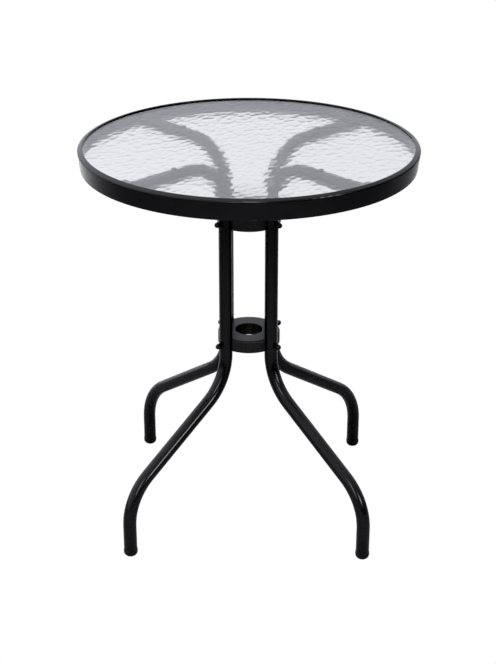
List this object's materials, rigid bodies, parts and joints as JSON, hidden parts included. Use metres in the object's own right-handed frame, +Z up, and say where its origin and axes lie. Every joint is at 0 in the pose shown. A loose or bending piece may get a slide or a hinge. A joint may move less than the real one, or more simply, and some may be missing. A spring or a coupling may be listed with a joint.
{
  "type": "garden table",
  "caption": "Round garden table with a hammered-glass top in a deep steel rim, on bent tube legs that moulded ring hubs tie together.",
  "frame": {"origin": "on the floor under the centre of the table top", "axes": "+Z up; the legs stand on the diagonals between the X and Y axes; -Y is the front"},
  "size_m": [0.5866, 0.5865, 0.702],
  "materials": {
    "powder_coat": "semi-gloss black powder coat",
    "hammered_glass": "clear, hammered on one face",
    "edging": "matte black",
    "pad_rubber": "matte black",
    "hub_plastic": "fine grain, dark grey-black",
    "cap_plastic": "satin black",
    "fastener": "black coated steel"
  },
  "bodies": {
    "root": {"arm_bracket_back_left": "powder_coat", "arm_bracket_back_right": "powder_coat", "arm_bracket_front_left": "powder_coat", "arm_bracket_front_right": "powder_coat", "arm_plug_back_left": "cap_plastic", "arm_plug_back_right": "cap_plastic", "arm_plug_front_left": "cap_plastic", "arm_plug_front_right": "cap_plastic", "foot_cap_back_left": "cap_plastic", "foot_cap_back_right": "cap_plastic", "foot_cap_front_left": "cap_plastic", "foot_cap_front_right": "cap_plastic", "glass_pad_back_left": "pad_rubber", "glass_pad_back_right": "pad_rubber", "glass_pad_front_left": "pad_rubber", "glass_pad_front_right": "pad_rubber", "glass_seal": "edging", "glass_top": "hammered_glass", "hub_bolts_lower": "fastener", "hub_bolts_upper": "fastener", "hub_nuts_lower": "fastener", "hub_nuts_upper": "fastener", "leg_back_left": "powder_coat", "leg_back_right": "powder_coat", "leg_front_left": "powder_coat", "leg_front_right": "powder_coat", "lower_hub": "hub_plastic", "rim_band": "powder_coat", "rim_screws": "fastener", "upper_hub": "hub_plastic"}
  },
  "joints": []
}
